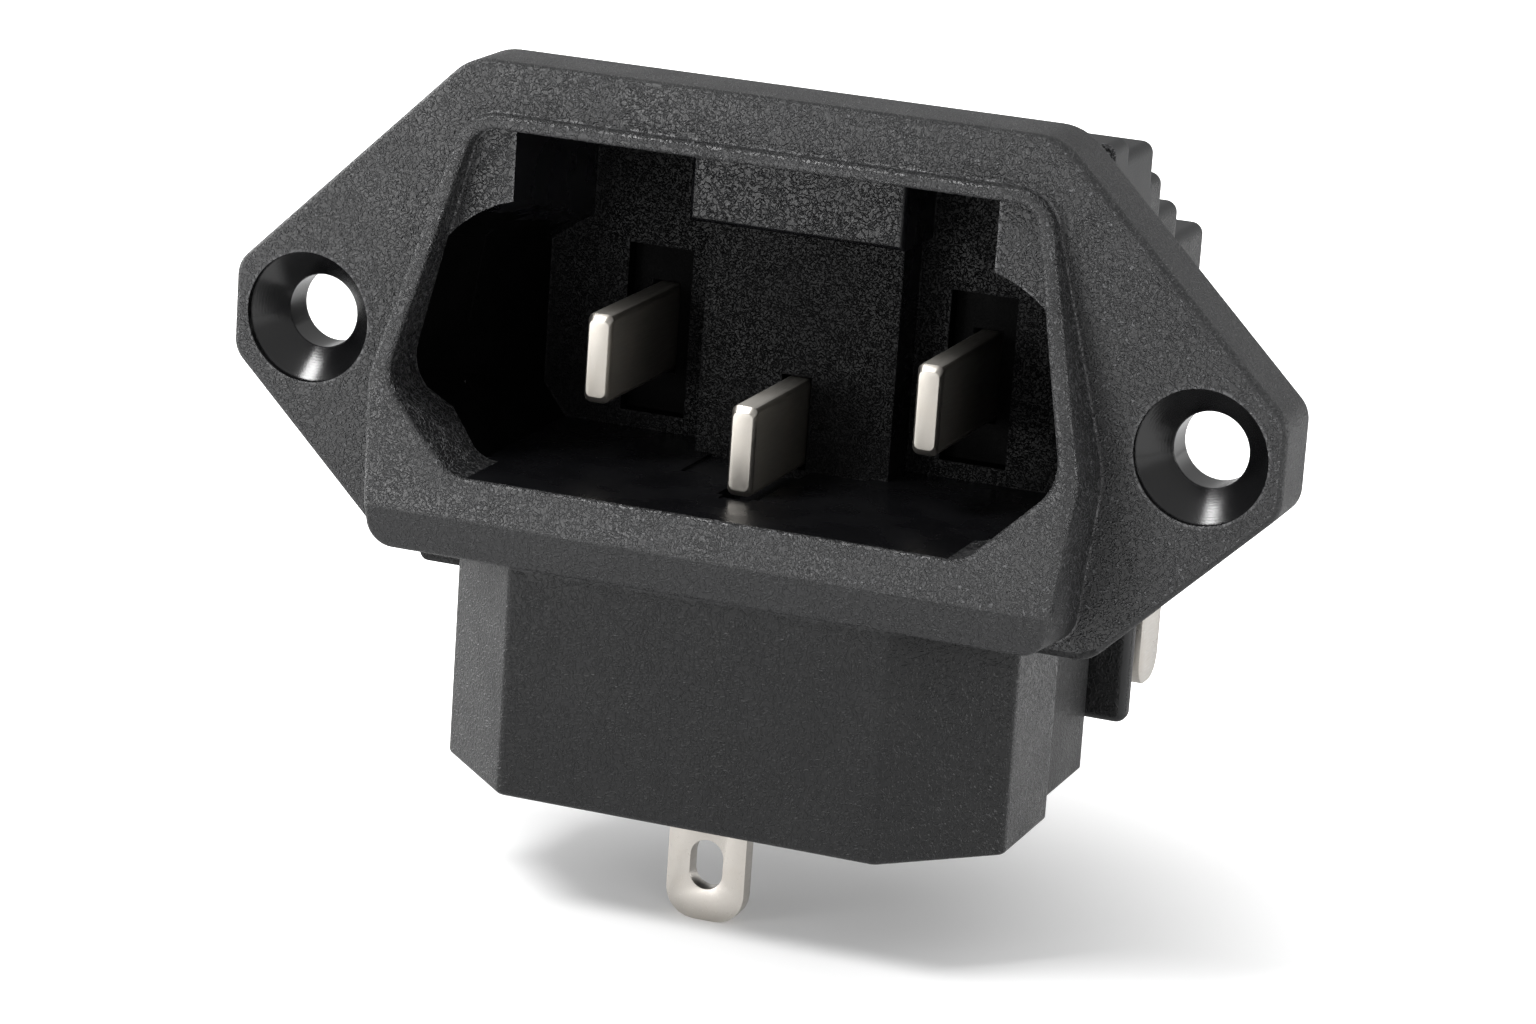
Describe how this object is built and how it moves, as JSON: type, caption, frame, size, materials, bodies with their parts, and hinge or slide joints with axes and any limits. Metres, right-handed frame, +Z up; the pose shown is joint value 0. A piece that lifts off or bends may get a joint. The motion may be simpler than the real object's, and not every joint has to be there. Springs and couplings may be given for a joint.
{
  "type": "iec panel inlet",
  "caption": "Screw-mounted mains power inlet: black moulded flange with a raked collar and keyed socket, bare contact blades, stepped rear cover and solder tags.",
  "frame": {"origin": "midway between the two screw holes, on the rear face of the flange, which seats on the panel", "axes": "+X along the screw line, +Y into the panel, +Z up towards the key side of the socket"},
  "size_m": [0.047, 0.0268, 0.0357],
  "materials": {
    "black_plastic": "fine textured, satin",
    "plated_brass": "satin nickel plating"
  },
  "bodies": {
    "root": {"housing": "black_plastic", "rear_cover": "black_plastic", "left_pole_blade": "plated_brass", "right_pole_blade": "plated_brass", "earth_blade": "plated_brass", "left_pole_tag": "plated_brass", "right_pole_tag": "plated_brass", "earth_tag": "plated_brass"}
  },
  "joints": []
}
